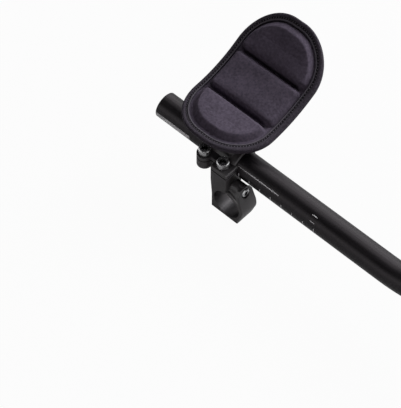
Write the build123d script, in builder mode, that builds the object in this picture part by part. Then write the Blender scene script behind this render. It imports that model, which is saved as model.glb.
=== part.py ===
from build123d import *
from math import asin, atan, cos, degrees, radians, sin, sqrt, tan
import os

# Frame: the origin is the centre of the handlebar clamp's bore, halfway along it.
# +X points forward along the extension, +Y outboard to the rider's left, +Z up. Millimetres.

# Handlebar clamp
handlebar_diameter = 26.0
handlebar_clearance = 0.1
clamp_width = 18.0
clamp_wall = 2.9
foot_front = 11.4
jaw_slit = 1.2
jaw_wall = 2.8
jaw_lean = 14.4
jaw_top = 23.0
jaw_corner_across = 3.3
jaw_corner_down = 5.0
jaw_outer_taper = 2.6
jaw_tube_gap = 1.4
clamp_bolt_height = 17.0
clamp_boss_radius = 5.8
clamp_boss_foot = 16.4

# Extension tube
tube_diameter = 22.2
tube_wall = 2.0
tube_height = 28.0
tube_offset = 14.4
tube_behind = 87.0
tube_straight = 225.0
bend_radius = 110.0
bend_angle = 26.5
grip_length = 110.0
tube_clearance = 0.1

# Plug in the front end of the tube
plug_cap = 3.0
plug_spigot = 14.0
plug_clearance = 0.2
plug_edge = 1.2

# Tube clamp, its pinch flange and the riser down to the handlebar clamp
barrel_wall = 2.0
barrel_length = 33.0
barrel_back = 2.0
riser_front = -1.0
riser_length = 16.4
flange_above = 7.0
flange_below = 10.0
lug_below = 6.0
lug_round = 1.5
flange_slit = 1.2
slit_above = 2.7
pinch_bolt_spacing = 19.0
front_bolt_back = 9.0
pinch_bolt_offset = 17.0
rear_lug_radius = 6.3
block_edge = 0.7

# Platform that carries the tray
platform_length = 40.0
platform_inboard = 9.0
platform_outboard = 25.0
platform_front = -8.0
platform_thickness = 6.0
platform_corner = 5.0
platform_rise = 0.9
rib_width = 7.0
rib_depth = 13.0
tray_screw_offset = 17.5
tray_screw_spacing = 28.0

# Socket-head bolts: M6 pinch bolts, M5 clamp bolt
pinch_head_diameter = 10.0
pinch_head_height = 6.0
pinch_hex = 5.0
pinch_thread = 6.0
pinch_length = 12.0
clamp_head_diameter = 8.5
clamp_head_height = 5.0
clamp_hex = 4.0
clamp_thread = 5.0
clamp_length = 20.0
hex_share = 0.55
bolt_edge = 0.7
bolt_clearance = 0.1
head_clearance = 0.4

# Arm pad: a cup about an axis along X, tilted outer side up, with a rounded outline
cup_radius = 94.8
cup_offset = 12.6
cup_tilt = 17.25
pad_forward = -30.0
pad_length = 79.0
pad_span = 121.0
pad_corner = 35.6
pad_border = 7.0
lobe_height = 5.5
lobe_inset = 6.4
lobe_edge = 4.6
groove_spread = 20.0
groove_width = 1.0
groove_flare = 2.6
groove_edge = 0.8
binding_width = 6.0
binding_thickness = 0.8
binding_edge = 1.0
cloth_gap = 0.2

# Hook-and-loop strips between pad and tray
strip_thickness = 1.6
strip_length = 50.0
strip_width = 18.0
inner_strip_inset = 17.0
middle_strip = 2.0
outer_strip_inset = 24.0

# Tray and its screws
tray_thickness = 2.4
tray_inset = 4.0
tray_rise = 0.6
seat_length = 42.0
seat_width = 26.0
seat_corner = 4.0
screw_hole_steps = 2
tray_hole_count = 3
screw_thread = 5.0
screw_head_diameter = 10.0
screw_length = 10.0
screw_hex = 3.0

# Worked out from the sizes above
bore_radius = (handlebar_diameter + handlebar_clearance) / 2
ring_radius = bore_radius + clamp_wall
tube_radius = tube_diameter / 2
barrel_bore = tube_radius + tube_clearance / 2
barrel_radius = barrel_bore + barrel_wall
inner_face = -clamp_width / 2
riser_rear = riser_front - riser_length
flange_top = tube_height + flange_above
flange_bottom = tube_height - flange_below
lug_bottom = tube_height - lug_below
bolt_line = tube_offset - pinch_bolt_offset
front_bolt = riser_front - front_bolt_back
rear_bolt = front_bolt - pinch_bolt_spacing
barrel_front = riser_front - barrel_back
barrel_rear = barrel_front - barrel_length
platform_top = tube_height + barrel_radius + platform_rise
platform_middle = platform_front - platform_length / 2
tray_screw_line = tube_offset + tray_screw_offset
pad_bottom_radius = cup_radius + pad_border
strip_top_radius = pad_bottom_radius + cloth_gap
tray_top_radius = strip_top_radius + strip_thickness + cloth_gap
tray_bottom_radius = tray_top_radius + tray_thickness
cup_axis_y = tube_offset + cup_offset
cup_axis_z = platform_top + tray_rise + tray_bottom_radius
lobe_radius = cup_radius - lobe_height
groove_turn = degrees(asin(groove_spread / cup_radius))
tray_hole_pitch = tray_screw_spacing / screw_hole_steps
inner_strip = inner_strip_inset - pad_span / 2
outer_strip = pad_span / 2 - outer_strip_inset

# The tube's path: a straight run, one bend upwards and the straight grip
bend_tangent = bend_radius * tan(radians(bend_angle) / 2)
bend_corner = -tube_behind + tube_straight + bend_tangent
grip_reach = bend_tangent + grip_length
grip_end_x = bend_corner + grip_reach * cos(radians(bend_angle))
grip_end_z = tube_height + grip_reach * sin(radians(bend_angle))

# The cup's planes: one above the pad for its outline, and sections across the cup's axis
cup_up = (0, -sin(radians(cup_tilt)), cos(radians(cup_tilt)))
cup_centre = (pad_forward, cup_axis_y, cup_axis_z)
outline_plane = Plane(cup_centre, x_dir=(1, 0, 0), z_dir=cup_up)


def cup_section(turn):
    # Plane across the cup's axis, turned about it from level
    across = (0, cos(radians(turn)), sin(radians(turn)))
    return Plane(cup_centre, x_dir=across, z_dir=(1, 0, 0))


section_plane = cup_section(cup_tilt)


def cup_slab(inner_radius, outer_radius, inset):
    # Arc-shaped slab between two radii, cut to the pad's outline moved in by the inset
    with BuildPart() as slab:
        with BuildSketch(section_plane):
            Circle(outer_radius)
            Circle(inner_radius, mode=Mode.SUBTRACT)
        extrude(amount=pad_length, both=True)
        with BuildSketch(outline_plane):
            RectangleRounded(pad_length - 2 * inset, pad_span - 2 * inset, pad_corner - inset)
        extrude(amount=-2 * outer_radius, mode=Mode.INTERSECT)
    return slab.part


def curved_face(builder, radius):
    # The cylindrical face of that radius about the cup's axis
    faces = builder.faces().filter_by(GeomType.CYLINDER)
    return min(faces, key=lambda face: abs(face.radius - radius))


def socket_bolt(seat, head_diameter, head_height, hex_size, thread, length):
    # Socket-head bolt whose head stands on the seat plane and whose shank goes down from it
    along = Axis(seat.origin, seat.z_dir)
    with BuildPart() as bolt:
        with BuildSketch(seat):
            Circle(head_diameter / 2)
        extrude(amount=head_height)
        chamfer(bolt.edges().filter_by(GeomType.CIRCLE).sort_by(along)[-1], bolt_edge)
        with BuildSketch(seat):
            Circle(thread / 2)
        extrude(amount=-length)
        with BuildSketch(seat.offset(head_height)):
            RegularPolygon(hex_size / 2, 6, major_radius=False)
        extrude(amount=-hex_share * head_height, mode=Mode.SUBTRACT)
    return bolt


def write(builder, node):
    builder.part.label = node
    export_step(builder.part, f"parts/{node}.step")


os.makedirs("parts", exist_ok=True)

# Extension tube
with BuildPart() as extension_tube:
    with BuildLine() as tube_path:
        FilletPolyline(
            (-tube_behind, tube_offset, tube_height),
            (bend_corner, tube_offset, tube_height),
            (grip_end_x, tube_offset, grip_end_z),
            radius=bend_radius,
        )
    with BuildSketch(Plane(tube_path.wire() @ 0, z_dir=tube_path.wire() % 0)):
        Circle(tube_radius)
        Circle(tube_radius - tube_wall, mode=Mode.SUBTRACT)
    sweep(path=tube_path.wire())
write(extension_tube, "extension_tube")

# Plug pressed into the front end of the tube
tube_tip = Plane(tube_path.wire() @ 1, z_dir=tube_path.wire() % 1)
with BuildPart() as front_end_plug:
    with BuildSketch(tube_tip):
        Circle(tube_radius)
    extrude(amount=plug_cap)
    tip_axis = Axis(tube_tip.origin, tube_tip.z_dir)
    chamfer(front_end_plug.edges().filter_by(GeomType.CIRCLE).sort_by(tip_axis)[-1], plug_edge)
    with BuildSketch(tube_tip):
        Circle(tube_radius - tube_wall - plug_clearance / 2)
    extrude(amount=-plug_spigot)
write(front_end_plug, "front_end_plug")

# Clamp bracket: handlebar clamp, riser, tube clamp and tray platform in one casting
foot_angle = 2 * atan(foot_front / ring_radius)
foot_tangent = (ring_radius * sin(foot_angle), -ring_radius * cos(foot_angle))
lean = radians(jaw_lean)
jaw_run = (jaw_top - ring_radius * sin(lean)) / cos(lean)
jaw_foot = Vector(cos(lean), sin(lean)) * ring_radius
jaw_tip = jaw_foot + Vector(-sin(lean), cos(lean)) * jaw_run
jaw_inward = Vector(-cos(lean), -sin(lean)) * jaw_wall
jaw_face = (ring_radius - clamp_bolt_height * sin(lean)) / cos(lean)
head_seat = jaw_face - clamp_head_height

with BuildPart() as clamp_bracket:
    # Side profile of the riser and the handlebar clamp, carried across the clamp's width
    with BuildSketch(Plane.XZ):
        Circle(ring_radius)
        Polygon(
            (riser_rear, flange_top),
            (riser_rear, flange_bottom),
            (-ring_radius, 0),
            (-ring_radius, -ring_radius),
            (foot_front, -ring_radius),
            foot_tangent,
            (0, 0),
            (riser_front, 0),
            (riser_front, flange_top),
            align=None,
        )
        Polygon(jaw_foot, jaw_tip, jaw_tip + jaw_inward, jaw_foot + jaw_inward, align=None)
    extrude(amount=clamp_width / 2, both=True)
    side_edges = clamp_bracket.faces().filter_by(Axis.Y).edges()
    top_edges = clamp_bracket.faces().sort_by(Axis.Z)[-1].edges().filter_by(Axis.Y)
    chamfer(side_edges + top_edges, block_edge)
    # Boss that carries the clamp bolt from the jaw back to the slit, with sides that slope to the ring
    with BuildSketch(Plane.YZ.offset(riser_front + jaw_slit)):
        with Locations((0, clamp_bolt_height)):
            Circle(clamp_boss_radius)
        Polygon(
            (-clamp_boss_foot / 2, 0),
            (clamp_boss_foot / 2, 0),
            (clamp_boss_foot / 2, bore_radius),
            (clamp_boss_radius, clamp_bolt_height),
            (-clamp_boss_radius, clamp_bolt_height),
            (-clamp_boss_foot / 2, bore_radius),
            align=None,
        )
    extrude(amount=head_seat - riser_front - jaw_slit + clamp_head_height / 2)
    # The jaw is trimmed clear of the tube, its inner top corner is sloped and its outer side tapers
    with BuildSketch(Plane.YZ.offset(riser_front)):
        with Locations((tube_offset, tube_height)):
            Circle(tube_radius + jaw_tube_gap)
        Polygon(
            (inner_face, jaw_top - jaw_corner_down),
            (inner_face, jaw_top + jaw_corner_down),
            (inner_face + 2 * jaw_corner_across, jaw_top + jaw_corner_down),
            align=None,
        )
        Polygon((-inner_face, 0), (-inner_face, jaw_top), (-inner_face - jaw_outer_taper, jaw_top), align=None)
    extrude(amount=2 * ring_radius, mode=Mode.SUBTRACT)
    # Barrel around the tube, turned with bevelled ends
    barrel_top = tube_height + barrel_radius
    with BuildSketch(Plane.XZ.offset(-tube_offset)):
        Polygon(
            (barrel_rear, tube_height),
            (barrel_front, tube_height),
            (barrel_front, barrel_top - block_edge),
            (barrel_front - block_edge, barrel_top),
            (barrel_rear + block_edge, barrel_top),
            (barrel_rear, barrel_top - block_edge),
            align=None,
        )
    revolve(axis=Axis((0, tube_offset, tube_height), (1, 0, 0)))
    # Pinch flange: a rounded rear lug joined to the barrel and to the riser block
    with BuildSketch(Plane.XY.offset(lug_bottom)):
        with Locations((rear_bolt, bolt_line)):
            Circle(rear_lug_radius)
        Polygon(
            (rear_bolt - rear_lug_radius, bolt_line),
            (riser_front - riser_length / 2, bolt_line),
            (riser_front - riser_length / 2, tube_offset),
            (rear_bolt - rear_lug_radius, tube_offset),
            align=None,
        )
    extrude(amount=flange_top - lug_bottom)
    lug_rim = clamp_bracket.edges().filter_by(GeomType.CIRCLE).filter_by_position(
        Axis.Y, bolt_line - rear_lug_radius, bolt_line
    )
    fillet(lug_rim.sort_by(Axis.Z)[0], lug_round)
    # Platform with a rib under its outboard wing
    with BuildSketch(Plane.XY.offset(platform_top)):
        with Locations((platform_middle, tube_offset + (platform_outboard - platform_inboard) / 2)):
            RectangleRounded(platform_length, platform_inboard + platform_outboard, platform_corner)
    extrude(amount=-platform_thickness)
    chamfer(clamp_bracket.faces().sort_by(Axis.Z)[-1].edges(), block_edge)
    with BuildSketch(Plane.YZ.offset(platform_middle)):
        Polygon(
            (tube_offset, platform_top - platform_thickness),
            (tube_offset + platform_outboard - platform_corner, platform_top - platform_thickness),
            (tube_offset + barrel_radius, platform_top - platform_thickness - rib_depth),
            (tube_offset, platform_top - platform_thickness - rib_depth),
            align=None,
        )
    extrude(amount=rib_width / 2, both=True)
    # Bores for the handlebar and the tube
    with BuildSketch(Plane.XZ):
        Circle(bore_radius)
    extrude(amount=clamp_width, both=True, mode=Mode.SUBTRACT)
    with BuildSketch(Plane.YZ.offset(platform_middle)):
        with Locations((tube_offset, tube_height)):
            Circle(barrel_bore)
    extrude(amount=platform_length, both=True, mode=Mode.SUBTRACT)
    # Slit of the handlebar clamp, from its bore up past the boss, and slit of the pinch flange
    with BuildSketch(Plane.XY.offset(bore_radius / 2)):
        with Locations((riser_front + jaw_slit / 2, 0)):
            Rectangle(jaw_slit, 2 * clamp_width)
    extrude(amount=jaw_top - bore_radius / 2, mode=Mode.SUBTRACT)
    with BuildSketch(Plane.XY.offset(tube_height + slit_above - flange_slit / 2)):
        with Locations((barrel_rear + barrel_length / 2, (inner_face + tube_offset) / 2 - clamp_width / 2)):
            Rectangle(2 * barrel_length, tube_offset - inner_face + clamp_width)
    extrude(amount=flange_slit, mode=Mode.SUBTRACT)
    # Holes for the pinch bolts, the clamp bolt with its head recess, and the tray screws
    with BuildSketch(Plane.XY.offset(flange_top)):
        with Locations((front_bolt, bolt_line), (rear_bolt, bolt_line)):
            Circle((pinch_thread + bolt_clearance) / 2)
    extrude(amount=-pinch_length - bolt_clearance, mode=Mode.SUBTRACT)
    with BuildSketch(Plane.XY.offset(flange_top)):
        with Locations((front_bolt, bolt_line), (rear_bolt, bolt_line)):
            Circle((pinch_head_diameter + head_clearance) / 2)
    extrude(amount=pinch_head_height, mode=Mode.SUBTRACT)
    with BuildSketch(Plane.YZ.offset(head_seat)):
        with Locations((0, clamp_bolt_height)):
            Circle((clamp_thread + bolt_clearance) / 2)
    extrude(amount=-clamp_length - bolt_clearance, mode=Mode.SUBTRACT)
    with BuildSketch(Plane.YZ.offset(head_seat)):
        with Locations((0, clamp_bolt_height)):
            Circle((clamp_head_diameter + head_clearance) / 2)
    extrude(amount=2 * ring_radius, mode=Mode.SUBTRACT)
    with BuildSketch(Plane.XY.offset(platform_top)):
        with Locations((platform_middle, tray_screw_line)):
            with GridLocations(tray_screw_spacing, 1, 2, 1):
                Circle((screw_thread + bolt_clearance) / 2)
    extrude(amount=-platform_thickness, mode=Mode.SUBTRACT)
write(clamp_bracket, "clamp_bracket")

# Bolts of the tube clamp and the handlebar clamp
pinch_sizes = (pinch_head_diameter, pinch_head_height, pinch_hex, pinch_thread, pinch_length)
for node, bolt_x in (("pinch_bolt_front", front_bolt), ("pinch_bolt_rear", rear_bolt)):
    write(socket_bolt(Plane((bolt_x, bolt_line, flange_top)), *pinch_sizes), node)
clamp_seat = Plane((head_seat, 0, clamp_bolt_height), x_dir=(0, 1, 0), z_dir=(1, 0, 0))
clamp_sizes = (clamp_head_diameter, clamp_head_height, clamp_hex, clamp_thread, clamp_length)
write(socket_bolt(clamp_seat, *clamp_sizes), "handlebar_clamp_bolt")

# Tray: the cup's shell with a flat seat that stands on the platform
screw_rise = sqrt(tray_top_radius**2 - (tray_screw_line - cup_axis_y) ** 2)
screw_top = cup_axis_z - screw_rise - cloth_gap
screw_cone = (screw_head_diameter - screw_thread) / 2
with BuildPart() as arm_tray:
    add(cup_slab(tray_top_radius, tray_bottom_radius, tray_inset))
    with BuildSketch(Plane.XY.offset(platform_top)):
        with Locations((platform_middle, tray_screw_line)):
            RectangleRounded(seat_length, seat_width, seat_corner)
    extrude(amount=tray_bottom_radius - tray_top_radius + tray_rise)
    with BuildSketch(section_plane):
        Circle(tray_top_radius)
    extrude(amount=pad_length, both=True, mode=Mode.SUBTRACT)
    with Locations(Plane((platform_middle, tray_screw_line, screw_top + cloth_gap))):
        with GridLocations(tray_hole_pitch, 1, tray_hole_count, 1):
            CounterSinkHole(
                (screw_thread + head_clearance) / 2, (screw_head_diameter + head_clearance) / 2
            )
write(arm_tray, "arm_tray")

# Countersunk screws of the tray
for node, side in (("tray_screw_front", 0.5), ("tray_screw_rear", -0.5)):
    screw_x = platform_middle + side * tray_screw_spacing
    with BuildPart() as tray_screw:
        with BuildSketch(Plane.XZ.offset(-tray_screw_line)):
            Polygon(
                (screw_x, screw_top),
                (screw_x + screw_head_diameter / 2, screw_top),
                (screw_x + screw_thread / 2, screw_top - screw_cone),
                (screw_x + screw_thread / 2, screw_top - screw_length),
                (screw_x, screw_top - screw_length),
                align=None,
            )
        revolve(axis=Axis((screw_x, tray_screw_line, 0), (0, 0, 1)))
        with BuildSketch(Plane((screw_x, tray_screw_line, screw_top))):
            RegularPolygon(screw_hex / 2, 6, major_radius=False)
        extrude(amount=-screw_cone, mode=Mode.SUBTRACT)
    write(tray_screw, node)

# Hook-and-loop strips, curved with the tray
strips = (
    ("hook_strip_inner", inner_strip),
    ("hook_strip_middle", middle_strip),
    ("hook_strip_outer", outer_strip),
)
for node, strip_place in strips:
    with BuildPart() as hook_strip:
        with BuildSketch(section_plane):
            Circle(strip_top_radius + strip_thickness)
            Circle(strip_top_radius, mode=Mode.SUBTRACT)
        extrude(amount=pad_length, both=True)
        with BuildSketch(outline_plane):
            with Locations((0, strip_place)):
                Rectangle(strip_length, strip_width)
        extrude(amount=-2 * tray_top_radius, mode=Mode.INTERSECT)
    write(hook_strip, node)

# Raised foam lobes of the pad: a bevelled slab parted by two flared grooves along the forearm
with BuildPart() as lobes:
    add(cup_slab(lobe_radius, pad_bottom_radius, lobe_inset))
    chamfer(curved_face(lobes, lobe_radius).edges(), lobe_edge)
    groove_rim = groove_width / 2 + groove_flare
    for turn in (-groove_turn, groove_turn):
        with BuildSketch(cup_section(cup_tilt + turn)):
            Polygon(
                (-groove_width / 2, -cup_radius),
                (groove_width / 2, -cup_radius),
                (groove_rim, -lobe_radius - groove_edge),
                (groove_rim + 2 * groove_edge, groove_edge - lobe_radius),
                (-groove_rim - 2 * groove_edge, groove_edge - lobe_radius),
                (-groove_rim, -lobe_radius - groove_edge),
                align=None,
            )
        extrude(amount=pad_length, both=True, mode=Mode.SUBTRACT)

# Pad: lobes on a flat border, with a thin tongue that the binding folds over
with BuildPart() as arm_pad:
    add(lobes.part)
    add(cup_slab(cup_radius, pad_bottom_radius, binding_width + cloth_gap))
    tongue_inset = binding_thickness + cloth_gap
    add(cup_slab(cup_radius + tongue_inset, pad_bottom_radius - tongue_inset, tongue_inset))
write(arm_pad, "arm_pad")

# Edge binding: a tape folded over the pad's edge all round
with BuildPart() as pad_edge_binding:
    add(cup_slab(cup_radius, pad_bottom_radius, 0))
    chamfer(curved_face(pad_edge_binding, cup_radius).edges(), binding_edge)
    add(cup_slab(cup_radius - pad_border, pad_bottom_radius + pad_border, binding_width), mode=Mode.SUBTRACT)
    add(
        cup_slab(
            cup_radius + binding_thickness, pad_bottom_radius - binding_thickness, binding_thickness
        ),
        mode=Mode.SUBTRACT,
    )
write(pad_edge_binding, "pad_edge_binding")
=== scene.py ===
import math

import bmesh
import bpy
import numpy as np
from mathutils import Matrix, Vector


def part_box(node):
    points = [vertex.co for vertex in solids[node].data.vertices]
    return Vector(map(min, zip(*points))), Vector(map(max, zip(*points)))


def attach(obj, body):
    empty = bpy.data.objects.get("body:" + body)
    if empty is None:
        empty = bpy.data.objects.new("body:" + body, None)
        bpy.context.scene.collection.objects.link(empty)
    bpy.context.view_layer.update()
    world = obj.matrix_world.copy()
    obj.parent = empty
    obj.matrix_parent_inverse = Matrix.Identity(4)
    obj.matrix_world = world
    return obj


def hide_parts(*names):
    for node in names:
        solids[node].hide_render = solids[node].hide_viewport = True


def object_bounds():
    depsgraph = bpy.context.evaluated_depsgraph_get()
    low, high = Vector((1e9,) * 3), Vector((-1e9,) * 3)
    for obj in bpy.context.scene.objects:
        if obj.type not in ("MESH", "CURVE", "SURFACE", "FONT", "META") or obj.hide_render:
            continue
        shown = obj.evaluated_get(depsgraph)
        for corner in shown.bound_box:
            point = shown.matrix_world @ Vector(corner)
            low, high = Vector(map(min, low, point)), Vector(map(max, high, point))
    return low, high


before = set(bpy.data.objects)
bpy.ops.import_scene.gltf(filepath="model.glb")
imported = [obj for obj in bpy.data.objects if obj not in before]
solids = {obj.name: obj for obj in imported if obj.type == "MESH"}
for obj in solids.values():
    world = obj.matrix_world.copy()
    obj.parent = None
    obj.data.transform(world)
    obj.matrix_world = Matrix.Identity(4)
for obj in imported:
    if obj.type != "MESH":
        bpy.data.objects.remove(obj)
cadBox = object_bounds()
scene = bpy.context.scene
scene.view_settings.view_transform = "Standard"
mm = 0.001  # the pieces' sizes below are in millimetres
mergeWithin = 1e-6  # metres
print("frame loaded:", len(solids), "solids")


# Mesh helpers

def gridQuads(rows, columns):
    # Corner numbers of the quads of a grid that is kept row by row
    row = np.arange(rows - 1)[:, None] * columns
    column = np.arange(columns - 1)[None, :]
    first = row + column
    return np.stack([first, first + 1, first + columns + 1, first + columns], axis=-1).reshape(-1, 4)


def repeatQuads(rows, columns, count):
    # The same for count grids of one size, one after the other
    starts = np.arange(count)[:, None, None] * rows * columns
    return (gridQuads(rows, columns)[None] + starts).reshape(-1, 4)


def meshPiece(name, points, quads, uv, finish, slot):
    # Points are in metres. A closed grid repeats its first row or column, and the doubles are merged.
    mesh = bpy.data.meshes.new(name)
    mesh.from_pydata(points.reshape(-1, 3).tolist(), [], quads.tolist())
    layer = mesh.uv_layers.new(name="pieceMap")
    layer.data.foreach_set("uv", uv.reshape(-1, 2)[quads.ravel()].astype(np.float32).ravel())
    merged = bmesh.new()
    merged.from_mesh(mesh)
    bmesh.ops.remove_doubles(merged, verts=merged.verts, dist=mergeWithin)
    bmesh.ops.recalc_face_normals(merged, faces=merged.faces)
    merged.to_mesh(mesh)
    merged.free()
    mesh.polygons.foreach_set("use_smooth", np.ones(len(mesh.polygons), bool))
    mesh.materials.append(finish)
    mesh.update()
    piece = bpy.data.objects.new(name, mesh)
    scene.collection.objects.link(piece)
    return piece


def smoothSteps(piece, levels):
    rounding = piece.modifiers.new("rounding", "SUBSURF")
    rounding.levels = levels
    rounding.render_levels = levels


# Finishes: every one is drawn by its nodes on Object coordinates or on the piece's own map.
# In their dictionaries a noise is its scale and detail, a bump its strength and depth,
# and lengths are in metres unless a note says mm.

usual = (0.3, 0.7)  # most of a noise's values lie between these


def newFinish(name, sockets):
    finish = bpy.data.materials.new(name)
    finish.use_nodes = True
    tree = finish.node_tree
    shader = tree.nodes["Principled BSDF"]
    for socket, value in sockets.items():
        shader.inputs[socket].default_value = value
    return finish, tree, shader


def addNode(tree, kind, values=None, **settings):
    node = tree.nodes.new(kind)
    for key, value in settings.items():
        setattr(node, key, value)
    for socket, value in (values or {}).items():
        node.inputs[socket].default_value = value
    return node


def drive(tree, shader, colour, roughness=None, normal=None):
    # Links what the nodes draw to the shader
    for socket, source in (("Base Color", colour), ("Roughness", roughness), ("Normal", normal)):
        if source is not None:
            tree.links.new(source, shader.inputs[socket])


def coordinates(tree, kind):
    return addNode(tree, "ShaderNodeTexCoord").outputs[kind]


def split(tree, vector):
    # The X, Y and Z of a vector
    parts = addNode(tree, "ShaderNodeSeparateXYZ")
    tree.links.new(vector, parts.inputs["Vector"])
    return parts.outputs


def noiseOf(tree, vector, scale, detail):
    noise = addNode(tree, "ShaderNodeTexNoise", {"Scale": scale, "Detail": detail})
    tree.links.new(vector, noise.inputs["Vector"])
    return noise.outputs["Fac"]


def ramp(tree, factor, limits, lowColour, highColour):
    # Colour that goes from lowColour to highColour as the factor goes from one limit to the other
    band = addNode(tree, "ShaderNodeValToRGB")
    low, high = band.color_ramp.elements
    low.position, high.position = limits
    low.color = (*lowColour, 1)
    high.color = (*highColour, 1)
    tree.links.new(factor, band.inputs["Fac"])
    return band.outputs["Color"]


def remap(tree, factor, limits, results):
    # Number that goes from one result to the other as the factor goes from one limit to the other
    span = addNode(
        tree, "ShaderNodeMapRange",
        {"From Min": limits[0], "From Max": limits[1], "To Min": results[0], "To Max": results[1]},
    )
    tree.links.new(factor, span.inputs["Value"])
    return span.outputs["Result"]


def bumpOf(tree, height, strength, depth, normal=None):
    bump = addNode(tree, "ShaderNodeBump", {"Strength": strength, "Distance": depth})
    tree.links.new(height, bump.inputs["Height"])
    if normal is not None:
        tree.links.new(normal, bump.inputs["Normal"])
    return bump.outputs["Normal"]


def combine(tree, operation, first, second):
    # A Math node on two sockets, or on a socket and a number
    node = addNode(tree, "ShaderNodeMath", operation=operation)
    for index, value in enumerate((first, second)):
        if hasattr(value, "node"):
            tree.links.new(value, node.inputs[index])
        else:
            node.inputs[index].default_value = value
    return node.outputs[0]


def waves(tree, place, apart):
    # A sine wave along place, with its crests this far apart
    return combine(tree, "SINE", combine(tree, "MULTIPLY", place, 2 * math.pi / apart), 0.0)


def weigh(tree, first, firstShare, second, secondShare):
    # The sum of two sockets, each times its share
    firstPart = combine(tree, "MULTIPLY", first, firstShare)
    return combine(tree, "ADD", firstPart, combine(tree, "MULTIPLY", second, secondShare))


wear = {"samples": 6, "lean": (0.99, 0.80)}  # cosine of the lean where wear starts and where it is full


def edgeWear(tree, radius):
    # 1 on sharp edges and 0 on flats: how far a rounded normal leans from the true one
    rounded = addNode(tree, "ShaderNodeBevel", {"Radius": radius}, samples=wear["samples"])
    true = addNode(tree, "ShaderNodeNewGeometry")
    lean = addNode(tree, "ShaderNodeVectorMath", operation="DOT_PRODUCT")
    tree.links.new(rounded.outputs["Normal"], lean.inputs[0])
    tree.links.new(true.outputs["Normal"], lean.inputs[1])
    return remap(tree, lean.outputs["Value"], wear["lean"], (0.0, 1.0))


def mixColours(tree, factor, first, second):
    # The first colour where the factor is 0 and the second where it is 1, each a socket or a plain colour
    mix = addNode(tree, "ShaderNodeMix", data_type="RGBA")
    tree.links.new(factor, mix.inputs["Factor"])
    sockets = [socket for socket in mix.inputs if socket.type == "RGBA"]
    for socket, value in zip(sockets, (first, second)):
        if hasattr(value, "node"):
            tree.links.new(value, socket)
        else:
            socket.default_value = (*value, 1)
    return [socket for socket in mix.outputs if socket.type == "RGBA"][0]


anodising = {
    "dark": (0.008, 0.007, 0.008), "light": (0.012, 0.0105, 0.012), "roughness": (0.34, 0.42),
    "shine": 0.43, "glint": (1.0, 0.92, 0.97, 1),
    "streaks": (25, 700, 700), "streakNoise": (1.0, 4.0),  # the pattern's scale along the tube and across it
    "specks": (1500.0, 2.0), "speckBump": (0.03, 0.0002),
    # where the tube turns up in mm, how far in degrees, and over how many mm it eases in
    "bendAt": 163.9, "bendAngle": 26.5, "bendEase": 16.0,
}


def alongTube(tree, scale):
    # Object coordinates less the rise of the tube's middle line past its bend, so a pattern follows the tube
    place = split(tree, coordinates(tree, "Object"))
    past = combine(tree, "SUBTRACT", place["X"], anodising["bendAt"] * mm)
    climb = combine(tree, "MULTIPLY", past, math.tan(math.radians(anodising["bendAngle"])))
    rise = addNode(tree, "ShaderNodeMath", {1: 0.0, 2: anodising["bendEase"] * mm}, operation="SMOOTH_MAX")
    tree.links.new(climb, rise.inputs[0])
    level = addNode(tree, "ShaderNodeCombineXYZ")
    tree.links.new(place["X"], level.inputs["X"])
    tree.links.new(place["Y"], level.inputs["Y"])
    tree.links.new(combine(tree, "SUBTRACT", place["Z"], rise.outputs[0]), level.inputs["Z"])
    mapping = addNode(tree, "ShaderNodeMapping", {"Scale": scale})
    tree.links.new(level.outputs["Vector"], mapping.inputs["Vector"])
    return mapping.outputs["Vector"]


def tubeFinish():
    # Black anodising: drawn streaks along the tube in colour and gloss, and fine specks
    sockets = {"Specular IOR Level": anodising["shine"], "Specular Tint": anodising["glint"]}
    finish, tree, shader = newFinish("tubeAnodising", sockets)
    streaks = noiseOf(tree, alongTube(tree, anodising["streaks"]), *anodising["streakNoise"])
    specks = noiseOf(tree, coordinates(tree, "Object"), *anodising["specks"])
    colour = ramp(tree, streaks, usual, anodising["dark"], anodising["light"])
    roughness = remap(tree, streaks, usual, anodising["roughness"])
    drive(tree, shader, colour, roughness, bumpOf(tree, specks, *anodising["speckBump"]))
    return finish


casting = {
    "dark": (0.048, 0.044, 0.046), "light": (0.072, 0.066, 0.069), "roughness": (0.34, 0.46), "shine": 0.75,
    "patches": (60.0, 4.0), "grain": (1400.0, 3.0), "grainBump": (0.15, 0.0003),
    "worn": (0.12, 0.116, 0.12), "wornWidth": 0.0005, "wornShare": (0.3, 0.8),
    # the handlebar bore is turned after blackening, so it is bare and smoother by this much
    "machined": (0.098, 0.093, 0.096), "boreRadius": 0.0132, "turned": 0.02,
}


def castingFinish():
    # Blasted and blackened casting: fine grain, paler where the edges are rubbed, and bare in the bore
    finish, tree, shader = newFinish("bracketCasting", {"Specular IOR Level": casting["shine"]})
    place = coordinates(tree, "Object")
    patches = noiseOf(tree, place, *casting["patches"])
    grain = noiseOf(tree, place, *casting["grain"])
    body = ramp(tree, patches, usual, casting["dark"], casting["light"])
    wornShare = remap(tree, patches, usual, casting["wornShare"])
    rubbed = combine(tree, "MULTIPLY", edgeWear(tree, casting["wornWidth"]), wornShare)
    skin = mixColours(tree, rubbed, body, casting["worn"])
    parts = split(tree, place)
    squares = [combine(tree, "POWER", parts[axis], 2.0) for axis in ("X", "Z")]
    fromAxis = combine(tree, "POWER", combine(tree, "ADD", *squares), 0.5)
    bored = combine(tree, "LESS_THAN", fromAxis, casting["boreRadius"])
    tree.links.new(bored, shader.inputs["Metallic"])
    colour = mixColours(tree, bored, skin, casting["machined"])
    blasted = remap(tree, grain, usual, casting["roughness"])
    roughness = combine(tree, "SUBTRACT", blasted, combine(tree, "MULTIPLY", bored, casting["turned"]))
    drive(tree, shader, colour, roughness, bumpOf(tree, grain, *casting["grainBump"]))
    return finish


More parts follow.
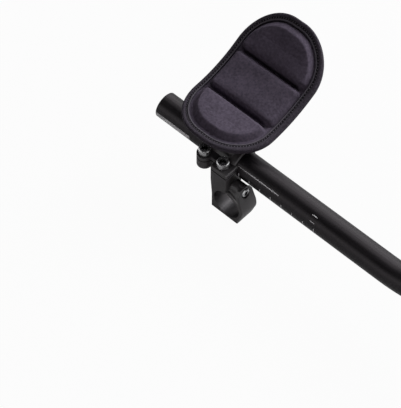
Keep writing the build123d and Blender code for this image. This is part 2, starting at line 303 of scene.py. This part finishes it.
boltSteel = {
    "dark": (0.56, 0.56, 0.57), "light": (0.78, 0.78, 0.79), "roughness": (0.18, 0.30), "metal": 0.9,
    "marks": (900.0, 4.0), "markBump": (0.08, 0.0002), "stains": (160.0, 3.0), "stainLimits": (0.3, 0.6),
    # the dark colour and the occlusion settings of the painted shade in the sockets
    "socketShade": (0.03, 0.03, 0.03), "socketDepth": 0.003, "samples": 8, "openness": (0.45, 0.85),
}


def steelFinish():
    # Bright stainless: faint turning marks and small stains, and painted shade down in the sockets
    finish, tree, shader = newFinish("boltSteel", {"Metallic": boltSteel["metal"]})
    place = coordinates(tree, "Object")
    marks = noiseOf(tree, place, *boltSteel["marks"])
    stains = noiseOf(tree, place, *boltSteel["stains"])
    bare = ramp(tree, stains, boltSteel["stainLimits"], boltSteel["dark"], boltSteel["light"])
    # painted shade: ambient occlusion darkens the steel's colour in the hex sockets and other hollows
    depth = {"Distance": boltSteel["socketDepth"]}
    hollow = addNode(tree, "ShaderNodeAmbientOcclusion", depth, samples=boltSteel["samples"])
    unshaded = remap(tree, hollow.outputs["AO"], boltSteel["openness"], (0.0, 1.0))
    colour = mixColours(tree, unshaded, boltSteel["socketShade"], bare)
    roughness = remap(tree, marks, usual, boltSteel["roughness"])
    drive(tree, shader, colour, roughness, bumpOf(tree, marks, *boltSteel["markBump"]))
    return finish


blackOxide = {
    "dark": (0.035, 0.035, 0.04), "light": (0.07, 0.07, 0.075), "roughness": (0.30, 0.45), "metal": 1.0,
    "stains": (500.0, 4.0), "worn": (0.4, 0.4, 0.41), "wornWidth": 0.0003, "wornShare": 0.6,
}


def blackSteelFinish():
    # Black oxide on the tray screws, worn through a little on the edges
    finish, tree, shader = newFinish("screwBlackOxide", {"Metallic": blackOxide["metal"]})
    stains = noiseOf(tree, coordinates(tree, "Object"), *blackOxide["stains"])
    body = ramp(tree, stains, usual, blackOxide["dark"], blackOxide["light"])
    worn = combine(tree, "MULTIPLY", edgeWear(tree, blackOxide["wornWidth"]), blackOxide["wornShare"])
    colour = mixColours(tree, worn, body, blackOxide["worn"])
    drive(tree, shader, colour, remap(tree, stains, usual, blackOxide["roughness"]))
    return finish


nylon = {
    "dark": (0.014, 0.014, 0.015), "light": (0.022, 0.022, 0.023), "roughness": (0.46, 0.58), "shine": 0.45,
    "drift": (45.0, 3.0), "pebbles": 1300.0, "pebbleBump": (0.25, 0.0003),
}


def trayFinish():
    # Moulded nylon: pebbled grain and a slight drift of tone
    finish, tree, shader = newFinish("trayNylon", {"Specular IOR Level": nylon["shine"]})
    place = coordinates(tree, "Object")
    drift = noiseOf(tree, place, *nylon["drift"])
    pebbles = addNode(tree, "ShaderNodeTexVoronoi", {"Scale": nylon["pebbles"]}, feature="SMOOTH_F1")
    tree.links.new(place, pebbles.inputs["Vector"])
    colour = ramp(tree, drift, usual, nylon["dark"], nylon["light"])
    roughness = remap(tree, drift, usual, nylon["roughness"])
    drive(tree, shader, colour, roughness, bumpOf(tree, pebbles.outputs["Distance"], *nylon["pebbleBump"]))
    return finish


rubber = {
    "dark": (0.010, 0.010, 0.010), "light": (0.020, 0.020, 0.020), "roughness": (0.60, 0.78), "shine": 0.35,
    "dust": (120.0, 5.0), "dustLimits": (0.35, 0.75), "skin": (2000.0, 2.0), "skinBump": (0.12, 0.0003),
}


def rubberFinish():
    # Matte rubber of the plug, a little dusty
    finish, tree, shader = newFinish("plugRubber", {"Specular IOR Level": rubber["shine"]})
    place = coordinates(tree, "Object")
    dust = noiseOf(tree, place, *rubber["dust"])
    skin = noiseOf(tree, place, *rubber["skin"])
    colour = ramp(tree, dust, rubber["dustLimits"], rubber["dark"], rubber["light"])
    roughness = remap(tree, dust, usual, rubber["roughness"])
    drive(tree, shader, colour, roughness, bumpOf(tree, skin, *rubber["skinBump"]))
    return finish


hookTape = {
    "hook": (0.018, 0.018, 0.018), "between": (0.006, 0.006, 0.006),
    "roughness": 0.9, "sheen": 0.4, "shine": 0.2,
    "hooks": 900.0, "hookLimits": (0.1, 0.7), "hookBump": (0.6, 0.0006),
}


def hookFinish():
    # Hook-and-loop tape: a nap of tiny hooks
    sockets = {"Roughness": hookTape["roughness"], "Sheen Weight": hookTape["sheen"]}
    sockets["Specular IOR Level"] = hookTape["shine"]
    finish, tree, shader = newFinish("hookTape", sockets)
    nap = addNode(tree, "ShaderNodeTexVoronoi", {"Scale": hookTape["hooks"]})
    tree.links.new(coordinates(tree, "Object"), nap.inputs["Vector"])
    away = nap.outputs["Distance"]
    colour = ramp(tree, away, hookTape["hookLimits"], hookTape["hook"], hookTape["between"])
    drive(tree, shader, colour, normal=bumpOf(tree, away, *hookTape["hookBump"]))
    return finish


clothSockets = {"Sheen Weight": 0.02, "Sheen Roughness": 0.4, "Specular IOR Level": 0.05}  # knit and tape
knit = {
    "dark": (0.071, 0.059, 0.080), "light": (0.128, 0.106, 0.144), "roughness": (0.72, 0.88),
    "courses": 0.9, "courseBump": (0.25, 0.00015),  # rows of loops, mm apart
    "nap": (2600.0, 3.0), "napBump": (0.25, 0.0004),
    "blotches": (55.0, 5.0), "blotchShare": 0.35,
    "pile": (520.0, 4.0), "pileShare": 0.65, "shadeLimits": (0.35, 0.65),
}


def padFinish():
    # Brushed knit: rows of loops along and across the forearm, soft blotches of tone, and a nap
    finish, tree, shader = newFinish("padKnit", clothSockets)
    loops = split(tree, coordinates(tree, "UV"))
    alongArm = waves(tree, loops["X"], knit["courses"])
    acrossArm = waves(tree, loops["Y"], knit["courses"])
    weave = combine(tree, "MULTIPLY", alongArm, acrossArm)
    place = coordinates(tree, "Object")
    blotches = noiseOf(tree, place, *knit["blotches"])
    nap = noiseOf(tree, place, *knit["nap"])
    pile = noiseOf(tree, place, *knit["pile"])
    shade = weigh(tree, blotches, knit["blotchShare"], pile, knit["pileShare"])
    colour = ramp(tree, shade, knit["shadeLimits"], knit["dark"], knit["light"])
    roughness = remap(tree, nap, usual, knit["roughness"])
    fuzz = bumpOf(tree, nap, *knit["napBump"])
    drive(tree, shader, colour, roughness, bumpOf(tree, weave, *knit["courseBump"], fuzz))
    return finish


tape = {
    "dark": (0.034, 0.029, 0.037), "light": (0.082, 0.070, 0.089), "shadeLimits": (0.38, 0.62),
    "roughness": (0.60, 0.78),
    "rib": 0.8, "twill": 0.55, "weaveShare": 0.08, "weaveBump": (0.3, 0.00012),  # ribs and twill, mm apart
    "fibres": (1800.0, 3.0), "fibreShare": 0.5, "blotches": (650.0, 3.0), "blotchShare": 0.5,
    # painted highlight: a pale stripe along the crest of the tape's ridge; painted shade: a dark stripe down
    # in the dip where the stitches sink; mm across the tape from its inner edge
    "ridgeHighlight": (0.115, 0.106, 0.122), "ridgeHighlightAt": 2.1, "ridgeHighlightHalf": 0.8,
    "seamShade": (0.017, 0.015, 0.018), "seamShadeAt": 4.0, "seamShadeHalf": 1.0,
}


def tapeFinish():
    # Woven binding tape: ribs across its width, crossed by a slanting twill, with a painted highlight along
    # its ridge and painted shade in the seam's dip
    finish, tree, shader = newFinish("bindingTape", clothSockets)
    parts = split(tree, coordinates(tree, "UV"))
    ribs = waves(tree, parts["X"], tape["rib"])
    twill = waves(tree, combine(tree, "ADD", parts["X"], parts["Y"]), tape["twill"])
    weave = combine(tree, "ADD", ribs, twill)
    place = coordinates(tree, "Object")
    fibres = noiseOf(tree, place, *tape["fibres"])
    blotches = noiseOf(tree, place, *tape["blotches"])
    mottle = weigh(tree, fibres, tape["fibreShare"], blotches, tape["blotchShare"])
    shade = combine(tree, "ADD", combine(tree, "MULTIPLY", weave, tape["weaveShare"]), mottle)
    colour = ramp(tree, shade, tape["shadeLimits"], tape["dark"], tape["light"])
    # the painted highlight on the ridge, then the painted shade in the seam's dip, each a stripe mixed into
    # the colour
    for line in ("ridgeHighlight", "seamShade"):
        off = combine(tree, "SUBTRACT", parts["Y"], tape[line + "At"])
        away = combine(tree, "ABSOLUTE", off, 0.0)
        half = tape[line + "Half"]
        stripe = remap(tree, away, (half / 2, half), (1.0, 0.0))
        colour = mixColours(tree, stripe, colour, tape[line])
    roughness = remap(tree, fibres, usual, tape["roughness"])
    drive(tree, shader, colour, roughness, bumpOf(tree, weave, *tape["weaveBump"]))
    return finish


sewing = {
    "dark": (0.088, 0.080, 0.092), "light": (0.128, 0.118, 0.135), "roughness": 0.7, "shine": 0.1,
    "twist": 12.0, "plyBump": (0.4, 0.0001),  # twist in radians for each mm of thread
}


def threadFinish():
    # Twisted sewing thread, paler than the tape
    sockets = {"Roughness": sewing["roughness"], "Specular IOR Level": sewing["shine"]}
    finish, tree, shader = newFinish("stitchThread", sockets)
    parts = split(tree, coordinates(tree, "UV"))
    ply = combine(tree, "ADD", combine(tree, "MULTIPLY", parts["X"], sewing["twist"]), parts["Y"])
    twist = combine(tree, "SINE", ply, 0.0)
    colour = ramp(tree, twist, (0.0, 1.0), sewing["dark"], sewing["light"])
    drive(tree, shader, colour, normal=bumpOf(tree, twist, *sewing["plyBump"]))
    return finish


ink = {
    "thin": (0.80, 0.80, 0.81), "full": (0.95, 0.95, 0.96), "roughness": (0.40, 0.55), "shine": 0.4,
    "patches": (1200.0, 3.0), "patchLimits": (0.3, 0.6),
}


def printFinish():
    # White pad-printed ink, slightly thin in places
    finish, tree, shader = newFinish("scalePrint", {"Specular IOR Level": ink["shine"]})
    patches = noiseOf(tree, coordinates(tree, "Object"), *ink["patches"])
    colour = ramp(tree, patches, ink["patchLimits"], ink["thin"], ink["full"])
    drive(tree, shader, colour, remap(tree, patches, usual, ink["roughness"]))
    return finish


finishOf = {
    "extension_tube": tubeFinish(),
    "front_end_plug": rubberFinish(),
    "clamp_bracket": castingFinish(),
    "arm_tray": trayFinish(),
}
steel, blackSteel, hooks = steelFinish(), blackSteelFinish(), hookFinish()
finishOf.update({name: steel for name in ("pinch_bolt_front", "pinch_bolt_rear", "handlebar_clamp_bolt")})
finishOf.update({name: blackSteel for name in ("tray_screw_front", "tray_screw_rear")})
finishOf.update({name: hooks for name in ("hook_strip_inner", "hook_strip_middle", "hook_strip_outer")})
for name, finish in finishOf.items():
    for place in solids[name].material_slots:
        place.material = finish
print("finishes on", len(finishOf), "solids")


# The cup that the pad lies in, and the pad's outline

cup = {"axisY": 27.0, "axisZ": 148.85, "radius": 94.8, "tilt": 17.25}  # tilt in degrees, the outer side up
outline = {"halfLength": 39.5, "halfSpan": 60.5, "corner": 35.6}

bindingLow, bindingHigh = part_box("pad_edge_binding")
cup["middleX"] = (bindingLow.x + bindingHigh.x) / 2 / mm

straightX = outline["halfLength"] - outline["corner"]
straightT = outline["halfSpan"] - outline["corner"]
quarter = outline["corner"] * math.pi / 2
edgeKnots = np.cumsum([0] + [2 * straightT, quarter, 2 * straightX, quarter] * 2)
knotX = np.array([1, 1, 1, -1, -1, -1, -1, 1, 1]) * straightX
knotT = np.array([-1, 1, 1, 1, 1, -1, -1, -1, -1]) * straightT
knotTurn = np.array([0, 0, 1, 1, 2, 2, 3, 3, 4]) * math.pi / 2
edgeLength = edgeKnots[-1]


def onEdge(along, inset):
    # Rounded rectangle: a centre that slides along the straight runs,
    # plus the corner radius, less the inset, in the direction of its turn
    turn = np.interp(along, edgeKnots, knotTurn)
    reach = outline["corner"] - inset
    x = np.interp(along, edgeKnots, knotX) + reach * np.cos(turn)
    t = np.interp(along, edgeKnots, knotT) + reach * np.sin(turn)
    return x, t


def onCup(x, t, rise):
    # Outline point (x forward, t across) dropped onto the cup, then moved by rise towards the cup's axis
    angle = np.arcsin(t / (cup["radius"] - np.minimum(rise, 0))) + math.radians(cup["tilt"])
    reach = cup["radius"] - rise
    y = cup["axisY"] + reach * np.sin(angle)
    z = cup["axisZ"] - reach * np.cos(angle)
    return np.stack(np.broadcast_arrays(cup["middleX"] + x, y, z), axis=-1) * mm


# Forearm pad

pad = {
    "thickness": 7.0,      # foam under the lobes
    "underGap": 0.1,       # the cover's underside stays this far inside the foam's
    "hem": 2.2,            # how far the pad's own edge stays inside the binding
    "sunk": 1.2,           # cloth under the binding, below the binding's top
    "lobeInset": 6.3,      # where the lobes rise from the binding
    "innerBorder": 2.2,    # extra width of border at the inner end
    "innerStep": 0.9,      # how far that border climbs
    "innerFrom": 8.0,      # where that border begins to widen, from the middle
    "innerOver": 26.0,     # and over what length
    "bevel": 3.2,          # how wide the lobes' slope is
    "slopeEnds": (-1, 9),  # slopes are followed between these, in widths of a slope
    "height": 5.3,
    "crown": 0.5,          # swell in the middle of each lobe
    "crownEdge": 22.0,     # the crown grows over this far from the edge
    "crownGroove": 14.0,   # and this far from a groove
    "crest": 0.13,         # softness of the top of a slope, as a share of it
    "middleCrest": 0.15,   # the middle lobe is rounder
    "middleEase": 4.0,     # over this far from its grooves
    "middleFrom": 1.2,     # and past this part of a groove's slope
    "turn": 1.9,           # rounding of the lobes' corners in plan, in widths of a slope
    "groove": 20.0,        # place of the sewn grooves, each side of the middle
    "grooveFloor": 0.9,    # half their floor
    "grooveSlope": 2.4,
    "exactRings": 14.0,    # rings follow the outline to this inset, then close on the middle line
    "middleEnd": 37.0,     # half the length of that middle line
    "middleInset": 24.0,   # inset that the way from the last exact ring to the middle line counts as
}


def slopeUp(share, softness):
    # 0 at the foot, a straight slope, and 1 past the top, with the corner at the top rounded
    rounded = -softness * np.log(np.exp(-share / softness) + np.exp(-1 / softness))
    return np.clip(np.where(share > 0, rounded, 0), 0, 1)


def padRise(inset, t):
    # The lesser of the slopes up from the edge and from the groove,
    # rounded in plan where they meet, plus a crown
    inner = np.clip((-t - pad["innerFrom"]) / pad["innerOver"], 0, 1)
    inner = inner * inner * (3 - 2 * inner)  # eased at both ends
    border = pad["innerBorder"] * inner
    fromSeam = inset - pad["lobeInset"]
    step = pad["innerStep"] * inner * np.clip(fromSeam / pad["innerBorder"], 0, 1)
    edge = np.clip((fromSeam - border) / pad["bevel"], *pad["slopeEnds"])
    reach = cup["radius"] - pad["height"] / 2
    away = reach * np.abs(np.arcsin(np.abs(t) / cup["radius"]) - math.asin(pad["groove"] / cup["radius"]))
    groove = np.clip((away - pad["grooveFloor"]) / pad["grooveSlope"], *pad["slopeEnds"])
    turn = pad["turn"]
    rounded = turn - np.hypot(np.maximum(turn - edge, 0), np.maximum(turn - groove, 0))
    middle = np.clip((pad["groove"] - np.abs(t)) / pad["middleEase"], 0, 1) * (groove > pad["middleFrom"])
    softness = pad["crest"] + (pad["middleCrest"] - pad["crest"]) * middle
    shape = slopeUp(np.where(rounded < turn, rounded, np.minimum(edge, groove)), softness)
    crowned = np.clip(fromSeam / pad["crownEdge"], 0, 1) * np.clip(away / pad["crownGroove"], 0, 1)
    climb = pad["height"] + pad["sunk"] - step
    return step - pad["sunk"] + shape * climb + pad["crown"] * shape * np.sqrt(crowned)


padGrid = {  # the points of each ring, and the rings from the underside's middle over the edge to the top's
    "grooveReach": 4.2, "groovePoints": 17, "lobeReach": 14.6, "lobePoints": 25,
    "cornerPoints": 46, "endPoints": 7,
    "underRings": 9, "underInsets": [9.0, 6.0, 3.4], "wallRises": [-5.9, -4.0, -2.1],
    "hemInsets": [3.6, 5.0, 5.7], "slopeInsets": (6.2, 12.2, 15), "lastInset": 13.0, "topRings": 23,
}
nearGroove = np.linspace(-padGrid["grooveReach"], padGrid["grooveReach"], padGrid["groovePoints"])
onLobe = np.linspace(-padGrid["lobeReach"], padGrid["lobeReach"], padGrid["lobePoints"])
fromMiddle = np.concatenate([[-straightT], nearGroove - pad["groove"], onLobe, nearGroove + pad["groove"]])
side = fromMiddle + straightT
corner = np.linspace(0, quarter, padGrid["cornerPoints"], endpoint=False)
end = np.linspace(0, 2 * straightX, padGrid["endPoints"], endpoint=False)
walk = [side, corner, end, corner] * 2
along = np.concatenate([knot + part for knot, part in zip(edgeKnots, walk)] + [[edgeLength]])


def padRing(inset, closing):
    # A ring at that inset, moved by the closing share towards the middle line
    x, t = onEdge(along[None, :], inset)
    middle = np.clip(t, -pad["middleEnd"], pad["middleEnd"])
    return x * (1 - closing), t + (middle - t) * closing


underClosings = np.linspace(1, 0, padGrid["underRings"])[:-1]
underInsets = np.array([pad["exactRings"], *padGrid["underInsets"]])
wallRises = np.array(padGrid["wallRises"])
topInsets = np.array([
    pad["hem"], *padGrid["hemInsets"], *np.linspace(*padGrid["slopeInsets"]),
    padGrid["lastInset"], pad["exactRings"],
])
topClosings = np.linspace(0, 1, padGrid["topRings"])[1:]
bottomRows = len(underClosings) + len(underInsets)
wallEnd = bottomRows + len(wallRises)
openRows = len(underInsets) + len(wallRises) + len(topInsets)
insets = np.concatenate([
    np.full(len(underClosings), pad["exactRings"]), underInsets, np.full(len(wallRises), pad["hem"]),
    topInsets, np.full(len(topClosings), pad["exactRings"]),
])[:, None]
closing = np.concatenate([underClosings, np.zeros(openRows), topClosings])[:, None]
x, t = padRing(insets, closing)
rise = padRise(insets + closing * pad["middleInset"], t)
rise[:bottomRows] = pad["underGap"] - pad["thickness"]
rise[bottomRows:wallEnd] = wallRises[:, None]
padMap = np.stack([x, cup["radius"] * np.arcsin(t / cup["radius"])], axis=-1)
armPad = meshPiece("arm_pad_cover", onCup(x, t, rise), gridQuads(*x.shape), padMap, padFinish(), "pad_fabric")
print("pad:", len(armPad.data.vertices), "points")

swelling = {
    "pressure": 4.0, "frames": 20, "quality": 5, "mass": 0.15, "stretch": 15, "bend": 0.5,
    "cap": 1.1,         # largest move
    "looseFrom": 0.35,  # share of the lobes' height from which the cover is free
    "least": 1e-9,      # metres, so that a point which stays is not divided by nothing
}


def pointsOf(mesh):
    flat = np.empty(len(mesh.vertices) * 3, np.float32)
    mesh.vertices.foreach_get("co", flat)
    return flat.reshape(-1, 3)


def looseness(piece):
    # 0 where the cover is sewn down and 1 on top of the lobes, from each point's rise above the cup
    placed = pointsOf(piece.data) / mm
    rises = cup["radius"] - np.hypot(placed[:, 1] - cup["axisY"], placed[:, 2] - cup["axisZ"])
    return np.clip((rises + pad["sunk"]) / (pad["height"] + pad["sunk"]), 0, 1)


def swell(piece):
    # The cover swells under pressure where it is loose; each point's move is eased to stay under the cap
    group = piece.vertex_groups.new(name="sewn")
    for index in np.flatnonzero(looseness(piece) <= swelling["looseFrom"]).tolist():
        group.add([index], 1.0, "REPLACE")
    start = pointsOf(piece.data)
    cloth = piece.modifiers.new("swell", "CLOTH")
    cloth.settings.quality = swelling["quality"]
    cloth.settings.mass = swelling["mass"]
    cloth.settings.tension_stiffness = swelling["stretch"]
    cloth.settings.compression_stiffness = swelling["stretch"]
    cloth.settings.bending_stiffness = swelling["bend"]
    cloth.settings.use_pressure = True
    cloth.settings.uniform_pressure_force = swelling["pressure"]
    cloth.settings.vertex_group_mass = "sewn"
    cloth.settings.effector_weights.gravity = 0
    cloth.point_cache.frame_end = swelling["frames"]
    for step in range(1, swelling["frames"] + 1):
        scene.frame_set(step)
    moved = pointsOf(piece.evaluated_get(bpy.context.evaluated_depsgraph_get()).to_mesh())
    piece.modifiers.remove(cloth)
    scene.frame_set(1)
    move = moved - start
    size = np.linalg.norm(move, axis=1, keepdims=True)
    cap = swelling["cap"] * mm
    move *= cap * np.tanh(size / cap) / np.maximum(size, swelling["least"])
    piece.data.vertices.foreach_set("co", (start + move).ravel())
    piece.vertex_groups.remove(group)
    piece.data.update()
    print("pad swelled by up to", round(float(np.linalg.norm(move, axis=1).max() / mm), 2), "mm")


swell(armPad)
smoothSteps(armPad, levels=1)
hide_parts("arm_pad")
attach(armPad, "root")


# Binding tape round the pad's edge

binding = {
    "steps": 300,
    "profile": [  # inset and rise of the tape's section, from its inner top edge over the outside and back
        (5.8, -1.1), (6.0, -0.6), (5.95, 0.1), (5.65, 0.62), (5.2, 0.72), (4.8, 0.45), (4.5, -0.05),
        (4.1, -0.25), (3.7, -0.1), (3.1, 0.05), (2.4, 0.0), (1.7, -0.15), (1.0, -0.5), (0.3, -1.2),
        (-0.2, -2.2), (-0.35, -3.2), (-0.35, -4.1), (-0.2, -5.1), (0.3, -6.0), (1.0, -6.65), (1.7, -6.95),
        (2.6, -7.0), (3.9, -7.0), (5.2, -7.0), (5.9, -6.85), (5.9, -6.3), (4.4, -6.2), (2.9, -6.0),
        (1.7, -5.0), (1.3, -3.5), (1.7, -2.0), (2.9, -1.2), (4.4, -1.1), (5.8, -1.1),
    ],
}
section = np.array(binding["profile"])
around = np.linspace(0, edgeLength, binding["steps"] + 1)
x, t = onEdge(around[:, None], section[None, :, 0])
tapePoints = onCup(x, t, section[None, :, 1])
tapeWalk = np.concatenate([[0], np.cumsum(np.hypot(*np.diff(section, axis=0).T))])
tapeMap = np.stack(np.broadcast_arrays(around[:, None], tapeWalk[None, :]), axis=-1)
edgeTape = meshPiece("pad_edge_tape", tapePoints, gridQuads(*x.shape), tapeMap, tapeFinish(), "binding_tape")
smoothSteps(edgeTape, levels=1)
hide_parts("pad_edge_binding")
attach(edgeTape, "root")

stitch = {
    "count": 140, "length": 1.3, "width": 0.45, "inset": 3.9, "slant": 0.3, "sides": 8, "steps": 6,
    "flatness": 0.7, "dive": 0.25,          # height as a share of the width, and how far the ends go in
    "topLevel": -0.02, "underLevel": -7.0,  # rise of the tape where the two rows lie
}
thread = threadFinish()


def stitchRow(name, level, outward):
    # Short capsules along the edge: a is -1 to 1 along each, b goes round it, and the ends dive into the tape
    rows, columns = stitch["steps"] + 1, stitch["sides"] + 1
    centres = (np.arange(stitch["count"])[:, None, None] + 0.5) * edgeLength / stitch["count"]
    a = np.linspace(-1, 1, rows)[None, :, None]
    b = np.linspace(0, 2 * math.pi, columns)[None, None, :]
    thick = stitch["width"] * np.sqrt(np.clip(1 - a ** 4, 0, 1))
    at = np.mod(centres + a * stitch["length"] / 2, edgeLength)
    inset = stitch["inset"] + stitch["slant"] * a + thick * np.cos(b)
    rise = level + outward * (thick * np.sin(b) * stitch["flatness"] - stitch["dive"] * a ** 2)
    points = onCup(*onEdge(at, inset), rise)
    quads = repeatQuads(rows, columns, stitch["count"])
    threadMap = np.stack(np.broadcast_arrays(at, b), axis=-1)
    row = meshPiece(name, points, quads, threadMap, thread, "binding_tape")
    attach(row, "root")


stitchRow("edge_stitches_top", stitch["topLevel"], 1)
stitchRow("edge_stitches_under", stitch["underLevel"], -1)
print("binding and stitches done")


# Printed scale on the tube

tubePrint = {
    "axisY": 14.4, "axisZ": 28.0, "radius": 11.1, "rearX": -87.0, "ink": 0.05,
    "angleSteps": 7, "lengthSteps": 3,
    "ticks": np.linspace(88.0, 163.5, 8),  # from the tube's rear end
    "tick": (0.7, 83.0, 103.0),            # width along the tube, and the angles from the top, degrees
    "line": (85.6, 126.4, 51.0, 55.2),     # start and end along the tube, and the angles
    "dashes": [(157.4, 162.4, 30.6, 34.4), (158.1, 162.5, 57.2, 61.2)],
    "band": (0.4, 36.0, 81.0, 110.0),      # plain pale band by the rear end
}


def printPatches(patches):
    # Each patch lies on the tube between two places along it and two angles from its top
    start, end, firstAngle, lastAngle = np.array(patches, float).T[:, :, None, None]
    u = np.linspace(0, 1, tubePrint["angleSteps"])[None, :, None]
    v = np.linspace(0, 1, tubePrint["lengthSteps"])[None, None, :]
    place = start + (end - start) * v + 0 * u
    angle = np.radians(firstAngle + (lastAngle - firstAngle) * u + 0 * v)
    reach = tubePrint["radius"] + tubePrint["ink"]
    y = tubePrint["axisY"] - reach * np.sin(angle)
    z = tubePrint["axisZ"] + reach * np.cos(angle)
    points = np.stack([tubePrint["rearX"] + place, y, z], axis=-1) * mm
    quads = repeatQuads(tubePrint["angleSteps"], tubePrint["lengthSteps"], len(patches))
    return points, quads, np.stack([place, angle], axis=-1)


half = tubePrint["tick"][0] / 2
patches = [(place - half, place + half, *tubePrint["tick"][1:]) for place in tubePrint["ticks"]]
patches += [tubePrint["line"], *tubePrint["dashes"], tubePrint["band"]]
printed = meshPiece("printed_scale", *printPatches(patches), printFinish(), "tube_anodised")
coat = printed.modifiers.new("ink", "SOLIDIFY")
coat.thickness = 2 * tubePrint["ink"] * mm
coat.offset = 0
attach(printed, "root")
print("scale printed")


# Camera, floor and light

view = {
    "place": (0.49783, -0.57279, 1.07430),
    "right": (0.73171, 0.68162, 0.0),
    "up": (-0.55835, 0.59938, 0.57358),
    "look": (-0.39096, 0.41969, -0.81915),
    "focal": 1689.12,  # in pixels of a picture 401 wide and 408 high
    "tall": 408,
    "far": 20,
}
lens = bpy.data.cameras.new("camera")
lens.lens = view["focal"] / view["tall"] * lens.sensor_width
lens.clip_end = view["far"]
camera = bpy.data.objects.new("camera", lens)
turned = Matrix([view["right"], view["up"], tuple(-c for c in view["look"])]).transposed().to_4x4()
camera.matrix_world = Matrix.Translation(view["place"]) @ turned
scene.collection.objects.link(camera)
scene.camera = camera

studio = {  # lengths in metres
    "floorSize": 11.0, "floorGap": 0.0005, "wallRadius": 5.5, "wallHeight": 3.0, "wallPoints": 73,
    "paper": (0.45, 0.45, 0.45, 1), "paperRoughness": 0.95, "paperShine": 0.1,
    "whiteShare": 0.96, "floorMirror": 0.12, "wallMirror": 0.85,
    "ambient": 0.02, "middle": (0.05, 0.03, 0.04),
}
lamps = {  # direction from the middle, distance, width and height, power, colour
    "keyBox": ((0.26, 0.79, 0.55), 1.6, (0.8, 0.8), 26.0, (0.97, 0.98, 1.0)),
    "backBox": ((-0.35, 0.55, 0.76), 1.7, (1.1, 2.3), 11.0, (0.99, 0.98, 1.0)),
    "stripBox": ((0.45, -0.84, 0.30), 1.5, (0.7, 0.5), 2.8, (1.0, 0.94, 0.97)),
}


def whiteStudio(tree, mirrorShare):
    # How much plain white a ray gets: most for the camera, and less for reflections,
    # so that those keep the shadows
    rays = addNode(tree, "ShaderNodeLightPath").outputs
    mirrored = combine(tree, "MAXIMUM", rays["Is Glossy Ray"], rays["Is Transmission Ray"])
    mirrored = combine(tree, "MULTIPLY", mirrored, mirrorShare)
    seen = combine(tree, "MULTIPLY", rays["Is Camera Ray"], studio["whiteShare"])
    return combine(tree, "MAXIMUM", seen, mirrored)


def paperFinish(name, mirrorShare):
    # Pale paper: shaded as it is for bounced light, and mostly plain white to the camera,
    # so that a faint shadow stays
    sockets = {"Base Color": studio["paper"], "Roughness": studio["paperRoughness"]}
    sockets["Specular IOR Level"] = studio["paperShine"]
    finish, tree, shader = newFinish(name, sockets)
    glow = addNode(tree, "ShaderNodeEmission", {"Color": (1, 1, 1, 1), "Strength": 1.0})
    mix = addNode(tree, "ShaderNodeMixShader")
    tree.links.new(whiteStudio(tree, mirrorShare), mix.inputs[0])
    tree.links.new(shader.outputs[0], mix.inputs[1])
    tree.links.new(glow.outputs[0], mix.inputs[2])
    tree.links.new(mix.outputs[0], tree.nodes["Material Output"].inputs["Surface"])
    return finish


def stagePiece(name, points, finish):
    mesh = bpy.data.meshes.new(name)
    mesh.from_pydata(points.reshape(-1, 3).tolist(), [], gridQuads(*points.shape[:2]).tolist())
    mesh.materials.append(finish)
    piece = bpy.data.objects.new(name, mesh)
    scene.collection.objects.link(piece)


def makeStudio():
    # A flat square just under the part's lowest point, and a round wall that stands on it
    low = cadBox[0][2] - studio["floorGap"]
    ends = np.linspace(-1, 1, 2) * studio["floorSize"] / 2
    x, y = np.meshgrid(ends, ends)
    floor = np.stack([x, y, np.full_like(x, low)], axis=-1)
    stagePiece("floor", floor, paperFinish("floorPaper", studio["floorMirror"]))
    turn = np.linspace(0, 2 * math.pi, studio["wallPoints"])[None, :]
    height = np.linspace(0, studio["wallHeight"], 2)[:, None]
    wall = [studio["wallRadius"] * np.cos(turn), studio["wallRadius"] * np.sin(turn), low + height]
    points = np.stack(np.broadcast_arrays(*wall), axis=-1)
    stagePiece("backdrop", points, paperFinish("wallPaper", studio["wallMirror"]))


def addLamp(name, direction, distance, size, power, colour):
    # A soft box that faces the middle of the part
    lamp = bpy.data.lights.new(name, "AREA")
    lamp.shape = "RECTANGLE"
    lamp.size, lamp.size_y = size
    lamp.energy = power
    lamp.color = colour
    holder = bpy.data.objects.new(name, lamp)
    toward = Vector(direction).normalized()
    holder.location = Vector(studio["middle"]) + toward * distance
    holder.rotation_euler = (-toward).to_track_quat("-Z", "Y").to_euler()
    holder.visible_camera = False
    scene.collection.objects.link(holder)


makeStudio()
for name, setting in lamps.items():
    addLamp(name, *setting)
world = bpy.data.worlds.new("studio")
scene.world = world
world.use_nodes = True
sky = world.node_tree.nodes["Background"]
sky.inputs["Color"].default_value = (1, 1, 1, 1)
sky.inputs["Strength"].default_value = studio["ambient"]
print("camera, paper and lamps ready")
